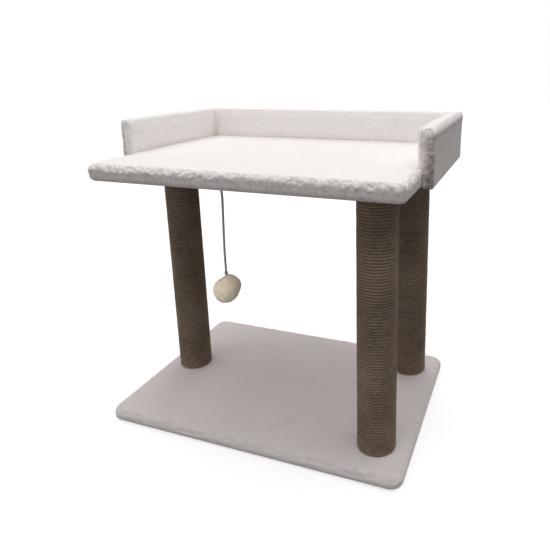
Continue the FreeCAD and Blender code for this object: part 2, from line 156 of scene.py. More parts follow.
def sherpa_fleece(name, light, shade, deep, relief):
    """Polyester sherpa fleece: matt curled pile, coloured by the tone its cover carries: painted shade in the
    hollows between its tufts, in its creases and on shaded faces, painted light on its tips and on lit faces."""
    made, tree, shader, place = finish_named(name)
    painted_pile_shade = add(tree, "ShaderNodeAttribute", attribute_name="pile").outputs["Fac"]
    patches = add(tree, "ShaderNodeTexNoise", {"Vector": place, "Scale": per(70), "Detail": 2.0})
    locks = add(tree, "ShaderNodeTexNoise", {"Vector": place, "Scale": per(3.5), "Detail": 3.0,
                                             "Roughness": 0.6, "Distortion": 1.2})
    curls = add(tree, "ShaderNodeTexVoronoi", {"Vector": place, "Scale": per(1.6), "Randomness": 1.0})
    fibre = add(tree, "ShaderNodeTexNoise", {"Vector": place, "Scale": per(0.7), "Detail": 2.0})
    mixed = 0.1
    for part, weight in ((locks, 0.2), (patches, 0.1), (painted_pile_shade, 0.5)):
        mixed = add(tree, "ShaderNodeMath", {0: part, 1: weight, 2: mixed}, operation="MULTIPLY_ADD")
    # The pile tone carries painted light and shade, so this ramp paints hollows, creases and shaded faces
    # darker and tips and lit faces paler.
    colour = add(tree, "ShaderNodeValToRGB", {"Fac": mixed},
                 [(0.0, paint(deep)), (0.25, paint(shade)), (0.75, paint(light))])
    rise = add(tree, "ShaderNodeMath", {0: curls, 1: -0.5, 2: fibre}, operation="MULTIPLY_ADD")
    low = add(tree, "ShaderNodeBump", {"Height": locks, "Strength": 0.6, "Distance": relief * mm})
    fine = add(tree, "ShaderNodeBump", {"Height": rise, "Strength": 0.7, "Distance": 0.6 * mm, "Normal": low})
    fill(tree, shader, {"Base Color": colour, "Normal": fine, "Roughness": 0.95, "Specular IOR Level": 0.15,
                        "Sheen Weight": 0.35, "Sheen Roughness": 0.55, "Sheen Tint": paint("#FFF8F6")})
    return made


def jute_rope(name, pale, mid, dark, fibre_width):
    """Twisted plant fibre: long streaks along the strands, dull, with broad patches of lighter and darker
    fibre.
    """
    made, tree, shader, place = finish_named(name)
    lie = add(tree, "ShaderNodeAttribute", attribute_name="strand").outputs["Vector"]
    along = add(tree, "ShaderNodeMapping", {"Vector": lie, "Scale": (0.06, 1.0, 1.0)})
    streak = add(tree, "ShaderNodeTexNoise", {"Vector": along, "Scale": per(fibre_width), "Detail": 3.0,
                                              "Roughness": 0.65})
    bundle = add(tree, "ShaderNodeTexNoise", {"Vector": along, "Scale": per(3.0), "Detail": 2.0})
    weather = add(tree, "ShaderNodeTexNoise", {"Vector": place, "Scale": per(60), "Detail": 3.0})
    tone = 0.0
    for part, weight in ((streak, 0.5), (bundle, 0.25), (weather, 0.25)):
        tone = add(tree, "ShaderNodeMath", {0: part, 1: weight, 2: tone}, operation="MULTIPLY_ADD")
    colour = add(tree, "ShaderNodeValToRGB", {"Fac": tone},
                 [(0.36, paint(dark)), (0.5, paint(mid)), (0.64, paint(pale))])
    bump = add(tree, "ShaderNodeBump", {"Height": streak, "Strength": 0.8, "Distance": 0.4 * mm})
    fill(tree, shader, {"Base Color": colour, "Normal": bump, "Roughness": 0.85, "Specular IOR Level": 0.25,
                        "Sheen Weight": 0.1})
    return made


def particle_board():
    """Raw particle board: flat wood chips a few millimetres long in glue, matt."""
    made, tree, shader, place = finish_named("raw_particle_board")
    warp = add(tree, "ShaderNodeTexNoise", {"Vector": place, "Scale": per(4), "Detail": 2.0})
    shifted = add(tree, "ShaderNodeMix", {"Factor": 0.002, 4: place, 5: warp.outputs["Color"]},
                  data_type="VECTOR")
    chips = add(tree, "ShaderNodeTexVoronoi", {"Vector": shifted.outputs[1], "Scale": per(2.2)})
    grains = add(tree, "ShaderNodeSeparateColor", {"Color": chips.outputs["Color"]})
    colour = add(tree, "ShaderNodeValToRGB", {"Fac": grains},
                 [(0.0, paint("#9A7A52")), (0.45, paint("#C3A274")), (1.0, paint("#DCC298"))])
    bump = add(tree, "ShaderNodeBump", {"Height": chips, "Strength": 0.4, "Distance": 0.3 * mm})
    fill(tree, shader, {"Base Color": colour, "Normal": bump, "Roughness": 0.8})
    return made


def zinc_plated_steel():
    """Bright zinc plating on steel: grey-blue metal with a soft, slightly uneven gloss."""
    made, tree, shader, place = finish_named("zinc_plated_steel")
    cloud = add(tree, "ShaderNodeTexNoise", {"Vector": place, "Scale": per(6), "Detail": 3.0})
    colour = add(tree, "ShaderNodeValToRGB", {"Fac": cloud},
                 [(0.35, paint("#B4B8BC")), (0.65, paint("#CDD0D2"))])
    gloss = add(tree, "ShaderNodeMapRange", {"Value": cloud, "To Min": 0.25, "To Max": 0.42})
    fill(tree, shader, {"Base Color": colour, "Roughness": gloss, "Metallic": 1.0})
    return made


def wound_cardboard():
    """Spiral-wound brown cardboard tube: paper fibre, with the strip's edges running round it."""
    made, tree, shader, place = finish_named("wound_cardboard")
    fibre = add(tree, "ShaderNodeTexNoise", {"Vector": place, "Scale": per(1.5), "Detail": 4.0})
    strip = add(tree, "ShaderNodeTexWave", {"Vector": place, "Scale": per(60) / 6, "Distortion": 0.3},
                bands_direction="Z")
    tone = add(tree, "ShaderNodeMath", {0: strip.outputs["Fac"], 1: 0.2, 2: fibre}, operation="MULTIPLY_ADD")
    colour = add(tree, "ShaderNodeValToRGB", {"Fac": tone},
                 [(0.35, paint("#8C6B47")), (0.8, paint("#B08D62"))])
    fill(tree, shader, {"Base Color": colour, "Roughness": 0.8})
    return made


def turned_softwood():
    """Turned softwood plug: straight grain along Z with rings on its ends, sanded, not varnished."""
    made, tree, shader, place = finish_named("turned_softwood")
    rings = add(tree, "ShaderNodeTexWave", {"Vector": place, "Scale": per(4) / 6, "Distortion": 1.5,
                                            "Detail": 2.0}, wave_type="RINGS", rings_direction="Z")
    colour = add(tree, "ShaderNodeValToRGB", {"Fac": rings.outputs["Fac"]},
                 [(0.2, paint("#C9A36B")), (0.8, paint("#E2C596"))])
    fill(tree, shader, {"Base Color": colour, "Roughness": 0.6})
    return made


def nonwoven_lining():
    """Grey spun-bonded lining: thin felt with a small pattern of pressed points 2 mm apart."""
    made, tree, shader, place = finish_named("nonwoven_lining")
    felt = add(tree, "ShaderNodeTexNoise", {"Vector": place, "Scale": per(2), "Detail": 4.0})
    points = add(tree, "ShaderNodeTexVoronoi", {"Vector": place, "Scale": per(2), "Randomness": 0.0})
    pressed = add(tree, "ShaderNodeValToRGB", {"Fac": points}, [(0.2, (0, 0, 0, 1)), (0.35, (1, 1, 1, 1))])
    colour = add(tree, "ShaderNodeValToRGB", {"Fac": felt},
                 [(0.35, paint("#8E8A88")), (0.65, paint("#A5A19F"))])
    bump = add(tree, "ShaderNodeBump", {"Height": pressed, "Strength": 0.5, "Distance": 0.2 * mm})
    fill(tree, shader, {"Base Color": colour, "Normal": bump, "Roughness": 0.9})
    return made


def polyester_wadding():
    """White polyester filling: loose fibre, matt."""
    made, tree, shader, place = finish_named("polyester_wadding")
    fluff = add(tree, "ShaderNodeTexNoise", {"Vector": place, "Scale": per(3), "Detail": 5.0,
                                             "Distortion": 1.0})
    colour = add(tree, "ShaderNodeValToRGB", {"Fac": fluff},
                 [(0.3, paint("#D9D8D3")), (0.7, paint("#F2F1ED"))])
    bump = add(tree, "ShaderNodeBump", {"Height": fluff, "Strength": 0.7, "Distance": 1.0 * mm})
    fill(tree, shader, {"Base Color": colour, "Normal": bump, "Roughness": 0.95})
    return made


platform_fleece = sherpa_fleece("platform_fleece", "#FBF6F4", "#CDC3C0", "#8C7E7A", 1.0)
# The base's fleece is the platform's fabric with shorter pile, in darker colours that are painted shade from
# the platform above it.
base_fleece_painted_darker = sherpa_fleece("base_fleece_painted_darker", "#F0E8E7", "#C9BFBE", "#857A78", 0.4)
ball_fleece = sherpa_fleece("ball_fleece", "#FDEFD6", "#E1CCA4", "#A98F62", 1.0)
post_jute = jute_rope("post_jute", "#A08C79", "#82705F", "#5B4B3D", 0.5)
grey_cord = jute_rope("grey_polyester_cord", "#C4C0C5", "#ABA6AC", "#87828A", 0.3)
posts = ("left", "front_right", "back_right")
walls = ("left", "back", "right")

for finish, nodes in (
        (particle_board(), ["base_board", "platform_board"] + ["wall_" + side + "_board" for side in walls]),
        (nonwoven_lining(), ["base_backing", "platform_lining"]),
        (zinc_plated_steel(), ["base_staples", "base_bolts", "base_washers", "post_lower_inserts",
                               "post_upper_inserts", "post_studs", "platform_staples", "platform_tee_nuts",
                               "wall_screws", "wall_corner_screws", "toy_staple"]),
        (polyester_wadding(), ["toy_ball_core"] + ["wall_" + side + "_wadding" for side in walls]),
        (grey_cord, ["toy_end_knot"]),
        (wound_cardboard(), ["post_" + post + "_tube" for post in posts]),
        (turned_softwood(), ["post_" + post + "_" + end + "_plug"
                             for post in posts for end in ("lower", "upper")])):
    for node in nodes:
        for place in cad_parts[node].material_slots:
            place.material = finish


# Making of pieces

def piece_from(bm, name, body, finish, nodes=()):
    """A finished piece: its mesh, its body, its material and the solids that it stands for."""
    for face in bm.faces:
        face.smooth = True
    mesh = mesh_of(bm, name)
    mesh.materials.append(finish)
    piece = put_in(name, mesh)
    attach(piece, body)
    if nodes:
        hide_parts(*nodes)
    return piece


def with_modifier(bm, kind, **settings):
    """The mesh as one modifier leaves it."""
    mesh = mesh_of(bm)
    work = put_in("work", mesh)
    modifier = work.modifiers.new("work", kind)
    for key, value in settings.items():
        setattr(modifier, key, value)
    made = bpy.data.meshes.new_from_object(as_seen(work))
    bpy.data.objects.remove(work)
    bpy.data.meshes.remove(mesh)
    bm = bmesh.new()
    bm.from_mesh(made)
    bpy.data.meshes.remove(made)
    return bm


def joined(bm, other):
    """Adds one mesh to another."""
    mesh = mesh_of(other)
    bm.from_mesh(mesh)
    bpy.data.meshes.remove(mesh)


def edges_along(bm, axis):
    """The straight edges that run along an axis."""
    return [edge for edge in bm.edges
            if abs((edge.verts[0].co - edge.verts[1].co).normalized()[axis]) > 0.99]


def round_block(low, high, corners, top_round, low_round, ends_square=False):
    """A block with rounded edges. The corners are those at low x low y, high x low y, high x high y and
    low x high y. Square ends keep their own edges sharp."""
    bm = bmesh.new()
    bmesh.ops.create_cube(bm, size=1)
    bmesh.ops.scale(bm, vec=high - low, verts=bm.verts)
    bmesh.ops.translate(bm, vec=(high + low) / 2, verts=bm.verts)
    places = ((low.x, low.y), (high.x, low.y), (high.x, high.y), (low.x, high.y))
    for radius, place in zip(corners, places):
        upright = [edge for edge in edges_along(bm, 2)
                   if (edge.verts[0].co.xy - Vector(place)).length < 0.1 * mm]
        if radius:
            bmesh.ops.bevel(bm, geom=upright, offset=radius, segments=6, profile=0.5, affect="EDGES",
                            material=-1)
    for level, radius in ((high.z, top_round), (low.z, low_round)):
        rim = [edge for edge in (edges_along(bm, 0) if ends_square else bm.edges)
               if all(abs(vert.co.z - level) < 0.1 * mm for vert in edge.verts)]
        bmesh.ops.bevel(bm, geom=rim, offset=radius, segments=6, profile=0.5, affect="EDGES", material=-1)
    return bm


def smooth_step(low, high, value):
    """0 below low and 1 above high, with a soft change between."""
    share = max(0.0, min(1.0, (value - low) / (high - low)))
    return share * share * (3 - 2 * share)


def tuft(point, spacing, seed):
    """0 in the hollows between tufts of pile and 1 on top of them."""
    p = point / spacing + Vector((seed, seed, seed))
    p += 0.45 * noise.noise_vector(p * 0.9)
    nearest = noise.voronoi(p)[0][0]
    return max(0.0, 1 - 1.3 * nearest * nearest)


def refined(bm, near):
    """Halves the skin's faces where its points lie near a rim, so that the curls there come out."""
    edges = [edge for edge in bm.edges if near(edge.verts[0].co) and near(edge.verts[1].co)]
    bmesh.ops.subdivide_edges(bm, edges=edges, cuts=1, use_grid_fill=True)


def filled_out(bm, held, pressure, limit):
    """How far each place of a cover moves as its filling pushes it out: a short cloth simulation on a coarse
    copy, with the held points fixed. Gives a function of a place."""
    last_moment = 20
    mesh = mesh_of(bm, "cloth")
    cloth = put_in("cloth", mesh)
    pins = cloth.vertex_groups.new(name="held")
    starts = [vert.co.copy() for vert in mesh.vertices]
    for vert in mesh.vertices:
        if held(vert.co, vert.normal):
            pins.add([vert.index], 1.0, "REPLACE")
    modifier = cloth.modifiers.new("cloth", "CLOTH")
    modifier.settings.vertex_group_mass = "held"
    modifier.settings.use_pressure = True
    modifier.settings.uniform_pressure_force = pressure
    modifier.settings.effector_weights.gravity = 0
    modifier.point_cache.frame_start = 1
    modifier.point_cache.frame_end = last_moment
    for moment in range(1, last_moment + 1):
        scene.frame_set(moment)
    moves = []
    tree = kdtree.KDTree(len(starts))
    seen = as_seen(cloth)
    for number, (start, vert) in enumerate(zip(starts, seen.data.vertices)):
        way = mesh.vertices[number].normal
        moves.append(way * max(0.0, min(limit, way.dot(vert.co - start))))
        tree.insert(start, number)
    tree.balance()
    bpy.data.objects.remove(cloth)
    bpy.data.meshes.remove(mesh)
    scene.frame_set(1)

    def move_at(place):
        found = [(moves[number], 1 / (reach + 0.5 * mm)) for _, number, reach in tree.find_n(place, 5)]
        return sum((move * weight for move, weight in found), Vector()) / sum(weight for _, weight in found)

    return move_at


def raise_pile(bm, lift):
    """Moves each point of a cover along its normal, and keeps the tone that its lift gives it: painted light
    and shade.
    """
    bm.normal_update()
    painted_pile_shade = bm.verts.layers.float.new("pile")
    moves = [(vert, lift(vert.co, vert.normal)) for vert in bm.verts]
    for vert, (rise, tone) in moves:
        vert[painted_pile_shade] = tone
        vert.co += vert.normal * rise


coarse = 1.0
post_places = {}
for post in posts:
    low, high = size_of("post_" + post + "_tube")
    post_places[post] = (low + high) / 2
    post_low, post_high = low.z, high.z
tube_radius = (high.x - low.x) / 2


# Covers: the fleece round each board

def pulled(bm, edges):
    """Extrudes open edges and gives the new points and edges."""
    grown = bmesh.ops.extrude_edge_only(bm, edges=edges)["geom"]
    verts = [part for part in grown if isinstance(part, bmesh.types.BMVert)]
    new = set(verts)
    edges = [part for part in grown if isinstance(part, bmesh.types.BMEdge) and new.issuperset(part.verts)]
    return verts, edges


def corners_round(places):
    """The lowest and the highest corner of a box round some places."""
    return (Vector([min(place[axis] for place in places) for axis in range(3)]),
            Vector([max(place[axis] for place in places) for axis in range(3)]))


def open_edges(bm):
    """The edges that have a face on one side only."""
    return [edge for edge in bm.edges if edge.is_boundary]


def board_pocket(bm, opening, board, board_corner, wadding):
    """Opens the cover's underside and takes its inside up round the board, and round its wadding, so that
    the cloth has thickness."""
    under = min(vert.co.z for vert in bm.verts) + 1 * mm
    middles = [(face, face.calc_center_median()) for face in bm.faces if face.normal.z < -0.9]
    window = [face for face, middle in middles if middle.z < under
              and all(opening[0][axis] < middle[axis] < opening[1][axis] for axis in (0, 1))]
    bmesh.ops.delete(bm, geom=window, context="FACES")
    rim = open_edges(bm)
    board_low, board_high = board
    window_low, window_high = corners_round([vert.co for edge in rim for vert in edge.verts])
    verts, rim = pulled(bm, rim)
    for vert in verts:
        vert.co.z = board_low.z
    verts, rim = pulled(bm, rim)
    for vert in verts:
        for axis in (0, 1):
            share = (vert.co[axis] - window_low[axis]) / (window_high[axis] - window_low[axis])
            vert.co[axis] = board_low[axis] + share * (board_high[axis] - board_low[axis])
        inner = Vector([max(board_low[axis] + board_corner,
                            min(board_high[axis] - board_corner, vert.co[axis])) for axis in (0, 1)])
        away = vert.co.xy - inner
        if away.length > board_corner:
            vert.co.xy = inner + away * (board_corner / away.length)
    if wadding:
        across = 0 if board_high.x - board_low.x < board_high.y - board_low.y else 1
        verts, rim = pulled(bm, rim)
        for vert in verts:
            vert.co.z = wadding[0].z
        verts, rim = pulled(bm, rim)
        for vert in verts:
            if wadding[0][1 - across] < vert.co[1 - across] < wadding[1][1 - across]:
                share = (vert.co[across] - board_low[across]) / (board_high[across] - board_low[across])
                low = min(board_low[across], wadding[0][across])
                high = max(board_high[across], wadding[1][across])
                vert.co[across] = low + share * (high - low)
    verts, rim = pulled(bm, rim)
    for vert in verts:
        vert.co.z = board_high.z
    bmesh.ops.holes_fill(bm, edges=rim, sides=0)


def cover(board, bm, voxel, lift, opening, finish, near_rim, board_corner, dimples=(), wadding=None,
          filled=None):
    """A cover: an even skin filled out by its wadding, its pile raised, dimpled at its staples, with a pocket
    for the board."""
    bm = with_modifier(bm, "REMESH", mode="VOXEL", voxel_size=voxel * coarse)
    if filled:
        for vert in bm.verts:
            vert.co += filled(vert.co)
    refined(bm, near_rim)
    for spot, along in dimples:
        reach = Vector((9 * mm, 4 * mm, 1 * mm)) if not along else Vector((4 * mm, 9 * mm, 1 * mm))
        near = [edge for edge in bm.edges
                if all(all(abs(vert.co[axis] - spot[axis]) < reach[axis] for axis in range(3))
                       for vert in edge.verts)]
        bmesh.ops.subdivide_edges(bm, edges=near, cuts=1, use_grid_fill=True)
    raise_pile(bm, lift)
    for spot, along in dimples:
        for vert in bm.verts:
            if abs(vert.co.z - spot.z) < 1 * mm:
                away = vert.co - spot
                length, width = (away.y, away.x) if along else (away.x, away.y)
                if abs(length) < 12 * mm and abs(width) < 8 * mm:
                    depth = 1 - smooth_step(5 * mm, 8.5 * mm, abs(length))
                    vert.co.z += 1.4 * mm * depth * math.exp(-(width / (1.8 * mm)) ** 2)
    name = board.replace("board", "cover")
    board_pocket(bm, opening, size_of(board), board_corner, wadding)
    piece = piece_from(bm, name, "stand", finish, [board.replace("board", "plush")])
    return piece


def loose_parts(node):
    """The lowest and highest corner of each separate solid in a node."""
    bm = bmesh.new()
    bm.from_mesh(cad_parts[node].data)
    bmesh.ops.remove_doubles(bm, verts=bm.verts, dist=0.01 * mm)
    waiting = set(bm.verts)
    found = []
    while waiting:
        reached = [waiting.pop()]
        part = []
        while reached:
            vert = reached.pop()
            part.append(vert.co.copy())
            for edge in vert.link_edges:
                other = edge.other_vert(vert)
                if other in waiting:
                    waiting.discard(other)
                    reached.append(other)
        found.append(corners_round(part))
    bm.free()
    return found


def staple_spots(node, level):
    """Where the crowns of the hem's staples lie, and whether each runs along Y."""
    spots = []
    for low, high in loose_parts(node):
        middle = (low + high) / 2
        middle.z = level
        spots.append((middle, high.y - low.y > high.x - low.x))
    return spots


base_low, base_high = size_of("base_plush")
platform_low, platform_high = size_of("platform_plush")
rope_outer = tube_radius + 5.1 * mm


def round_posts(point):
    """Distance from the nearest post's middle."""
    return min(math.hypot(point.x - p.x, point.y - p.y) for p in post_places.values())


def base_lift(point, normal):
    """Short flat pile, rippled with small creases along the front's upper rim, a swell round each post's foot
    and one soft fold across the front."""
    if normal.z < -0.8:
        return 0.0, 0.6
    reach = round_posts(point)
    flat = smooth_step(rope_outer, rope_outer + 6 * mm, reach) if normal.z > 0.5 else 1.0
    edge = min(point.y - base_low.y, base_high.x - point.x, point.x - base_low.x, base_high.y - point.y)
    from_front = point.y - base_low.y
    along_face = from_front if normal.z > 0.7 else point.z - base_high.z + 3 * mm
    rim = math.exp(-((along_face - 4 * mm) / (6 * mm)) ** 2) if from_front < 26 * mm else 0.0
    side_rim = 1 - smooth_step(4 * mm, 16 * mm, edge)
    rough = 0.3 + 0.7 * smooth_step(-60 * mm, 60 * mm, point.x)
    combed = Vector((0.45 * point.x + 0.9 * along_face, 0.9 * point.x - 0.45 * along_face))
    drift = noise.noise(Vector((combed.x / (9 * mm), combed.y / (14 * mm), 3.0)))
    wave = math.sin(2 * math.pi * (combed.x / (8 * mm) + 1.1 * drift))
    patch = smooth_step(-0.1, 0.3, noise.noise(Vector((point.x / (13 * mm), along_face / (8 * mm), 8.0))))
    crease = rim * rough * patch * smooth_step(0.5, 1.0, wave)
    raised = smooth_step(5 * mm, 15 * mm, point.z)
    ripple = raised * noise.noise(Vector((point.x / (17 * mm), along_face / (9 * mm), 21.0)))
    soft = (1 - tuft(point, 7 * mm, 5.0)) * (0.3 + 0.7 * raised)
    fold_way = Vector((point.x - 20 * mm, point.y + 151 * mm))
    fold_along = fold_way.dot(Vector((0.73, 0.683)))
    fold_aside = fold_way.dot(Vector((-0.683, 0.73)))
    fold = math.exp(-(fold_aside / (5 * mm)) ** 2) * smooth_step(-5 * mm, 15 * mm, fold_along)
    fold *= 1 - smooth_step(50 * mm, 85 * mm, fold_along)
    lift = -0.25 * mm * (1 - tuft(point, 7 * mm, 2.0)) * flat
    lift -= 0.5 * side_rim * mm * soft
    lift += 0.3 * mm * side_rim + 1.1 * mm * ripple * side_rim
    lift -= 0.9 * mm * crease
    lift += 0.5 * mm * noise.noise(point / (70 * mm)) * flat * max(0.0, normal.z)
    if normal.z > 0.5:
        lift -= 0.9 * mm * fold
        if reach > rope_outer:
            lift += 0.8 * mm * math.exp(-((reach - rope_outer - 3 * mm) / (7 * mm)) ** 2)
    # Painted light and shade: the upright faces are painted paler than the top, the hollows by the rims, the
    # creases and the fold are painted darker as painted shade, and the ripples get painted highlights.
    upright = 1 - smooth_step(0.0, 0.8, normal.z)
    tone = 0.37 + 0.55 * upright - 0.2 * soft * side_rim + 0.25 * ripple * side_rim
    return lift, tone - 0.5 * crease - 0.14 * fold


def corner_fold(point, low, high):
    """How deep a point lies in the fold that the cloth makes at each corner of a board."""
    depth = 0.0
    for x in (low.x, high.x):
        for y in (low.y, high.y):
            corner = Vector((x, y, 0))
            inward = Vector((math.copysign(1, -x), math.copysign(1, -y), 0)).normalized()
            away = Vector((point.x, point.y, 0)) - corner
            aside = away.dot(Vector((-inward.y, inward.x, 0))) - 4 * mm * math.copysign(1, x * y)
            near = 1 - smooth_step(10 * mm, 26 * mm, away.length)
            depth = max(depth, math.exp(-(aside / (2.2 * mm)) ** 2) * near)
    return depth


def platform_lift(point, normal):
    """Long pile: even on top, in high curls along the upper rim, combed flat down the sides, and pressed
    into the corner under the wall. Its tone is painted: light on top, shade down the sides, both on the rim's
    curls."""
    if normal.z < -0.3:
        return 0.0, 0.4
    top = smooth_step(0.0, 0.6, normal.z)
    flat = smooth_step(0.85, 0.995, normal.z)
    hang = 8 * mm * noise.noise(point / (8 * mm))
    below = platform_high.z - point.z
    rim = math.exp(-(max(0.0, below - 8 * mm - hang) / (4 * mm)) ** 2) * (1 - flat)
    hung = Vector((point.x, point.y, point.z * 0.65))
    big = tuft(hung, 9 * mm, 1.0)
    small = tuft(hung, 5.2 * mm, 9.0)
    curl = tuft(hung, 3.0 * mm, 11.0)
    lift = -(0.4 + 0.4 * top + 1.1 * rim) * mm * (1 - big)
    lift -= (0.2 + 0.2 * top + 1.3 * rim) * mm * (1 - small)
    lift -= (0.1 + 0.3 * rim) * mm * (1 - curl)
    lift += 0.5 * mm * noise.noise(point / (45 * mm))
    lift -= 1.4 * mm * corner_fold(point, platform_low, platform_high)
    lift += (0.5 * top + 1.9 * rim + 0.3) * mm
    lift += 1.2 * mm * smooth_step(0.2, 0.8, -normal.x) * (1 - smooth_step(-0.14, -0.1, point.y))
    inside = min(point.x - platform_low.x, platform_high.x - point.x, platform_high.y - point.y)
    walled = smooth_step(wall_front - 5 * mm, wall_front + 1 * mm, point.y)
    if walled:
        square = 13 * mm * (1 / max(abs(part) for part in normal) - 1) if normal.z > 0.02 else 0.0
        close = smooth_step(8 * mm, 10 * mm, inside)
        swell = close * (lift + 2.0 * mm * (1 - smooth_step(8 * mm, 20 * mm, inside)))
        lift += walled * (square - 0.1 * mm + swell - lift)
    # Painted light and shade: the top is painted near the light colour, the sides darker as painted shade,
    # and along the upper rim the curls' tips get painted highlights and their hollows painted shade.
    curls = 0.4 * big + 0.4 * small + 0.2 * curl
    streak = noise.noise(Vector((point.x / (3.5 * mm), point.y / (3.5 * mm), point.z / (6 * mm))))
    side = 0.12 + 0.25 * small + 0.35 * streak
    tone = side + (curls * 1.4 + 0.02 - side) * rim
    return lift, tone + (0.9 + 0.2 * small - tone) * flat


def opening_in(node):
    """The window under a board: as large as the sheet that lies in it, with its small gap."""
    low, high = size_of(node)
    gap = Vector((0.5 * mm, 0.5 * mm, 0))
    return low - gap, high + gap


wall_front = size_of("wall_left_plush")[0].y
base_corners, platform_corners = (22 * mm,) * 4, (12 * mm,) * 4
cover("base_board", round_block(base_low, base_high, base_corners, 11 * mm, 9 * mm), 2.2 * mm, base_lift,
      opening_in("base_backing"), base_fleece_painted_darker, lambda place: place.y < base_low.y + 18 * mm, 18 * mm,
      staple_spots("base_staples", base_low.z))
cover("platform_board", round_block(platform_low, platform_high, platform_corners, 13 * mm, 8 * mm), 1.8 * mm,
      platform_lift, opening_in("platform_lining"), platform_fleece,
      lambda place: place.z > platform_low.z + 5 * mm and place.y < wall_front and min(
          place.y - platform_low.y, place.x - platform_low.x, platform_high.x - place.x) < 16 * mm, 7 * mm,
      staple_spots("platform_staples", platform_low.z))


def wall_lift(point, normal):
    """Pile on the wall: high curls along its upper rim and front ends, flat on its outer faces, even on its
    padded inner ones. Its tone is painted light and shade: dark outer faces, pale inner faces and rim, shaded
    ends."""
    outwards = {"left": -normal.x, "right": normal.x, "back": normal.y}[side]
    if side == "back" and abs(normal.x) > 0.6:
        return 0.0, 0.5
    above = smooth_step(platform_high.z, platform_high.z + 20 * mm, point.z)
    from_rim = wall_high.z - point.z
    from_end = point.y - wall_low.y if side != "back" else 1.0
    rim = (1 - smooth_step(5 * mm, 16 * mm, from_rim)) * (1 - smooth_step(0.6, 0.97, abs(outwards)))
    end = (1 - smooth_step(3 * mm, 13 * mm, from_end)) * (1 - smooth_step(0.85, 1.0, abs(outwards)))
    big = tuft(point, 9 * mm, 4.0)
    small = tuft(point, 5 * mm, 6.0)
    curl = tuft(point, 3 * mm, 13.0)
    rough = max(rim, end) * (1 - 0.4 * rim * end)
    face = 0.2 if outwards > 0.5 else 0.5
    lift = -(face + 0.8 * rough) * mm * (1 - big) - (0.5 * face + 0.9 * rough) * mm * (1 - small)
    lift -= 0.3 * rough * mm * (1 - curl)
    lift += 0.3 * mm * noise.noise(point / (40 * mm))
    share = max(0.0, min(1.0, (point.z - platform_high.z) / (wall_high.z - platform_high.z)))
    if outwards < -0.3:
        lift += {"left": 0.4, "right": 1.8, "back": 0.6}[side] * mm * share
    elif outwards > 0.3:
        lift += {"left": 0.3 - 1.9 * share, "right": 1.2 + 1.3 * share, "back": 0.3 + share}[side] * mm
        if side == "right":
            lift += 1.1 * mm * math.exp(-((from_rim - 7 * mm) / (5 * mm)) ** 2)
    lift += 1.9 * rough * mm
    if side == "left" and outwards > 0.0:
        by_edge = 1 - smooth_step(6 * mm, 15 * mm, min(from_rim, from_end))
        lift = max((-1.8 + 1.1 * by_edge) * mm, lift - 1.8 * outwards * rough * mm)
    if normal.z < -0.3 or not above and outwards < 0.3:
        lift = min(lift, 0.0) if normal.y > -0.5 else lift
    curls = 0.4 * big + 0.4 * small + 0.2 * curl
    # Painted light and shade: the outer faces are painted dark and the inner faces pale, a painted highlight
    # runs along the upper rim, and the rim's curls get painted highlights on their tips and painted shade in
    # their hollows.
    painted_face_shading = (0.1 if outwards > 0.5 else 0.85) + 0.2 * small
    painted_face_shading += (0.95 - painted_face_shading) * (1 - smooth_step(6 * mm, 13 * mm, from_rim + 4 * mm * curls))
    tone = painted_face_shading + (curls * 0.6 + 0.7 - painted_face_shading) * rim
    # Painted shade and light on the front ends: the right wall's end is painted darker towards its outer half
    # and below the platform's top, and the ends' curls get painted highlights on their tips and painted shade
    # in their hollows; the other ends keep a plain outer strip.
    through = (point.x - wall_low.x) / (wall_high.x - wall_low.x)
    if side == "right":
        shaded = smooth_step(0.05, 0.75, through + 0.15 * (big - 0.5))
        shaded *= 1 - 0.6 * smooth_step(0.85, 1.0, through)
        painted_end_shading = 0.95 + 0.9 * (curls - 0.5) - 1.2 * shaded - 0.2 * (1 - above)
    else:
        painted_end_shading = 0.6 + smooth_step(0.35, 0.5, through) * (0.65 + 1.6 * (curls - 0.65))
    return lift, tone + (painted_end_shading - tone) * end * (1 - 0.9 * rim)


def held_wall(point, normal):
    """The wall's outer faces, its foot and the back wall's square ends: the cloth lies on the board there."""
    outwards = {"left": -normal.x, "right": normal.x, "back": normal.y}[side]
    return outwards > 0.5 or point.z < pad_low.z + 4 * mm or side == "back" and abs(normal.x) > 0.6


def wall_pad():
    """The block of the wall's padded upper part, round at its front end."""
    front = (8.5 * mm, 8.5 * mm) if side != "back" else (0, 0)
    return round_block(pad_low, pad_high, (*front, 0, 0), 8.5 * mm, 0.5 * mm, ends_square=side == "back")


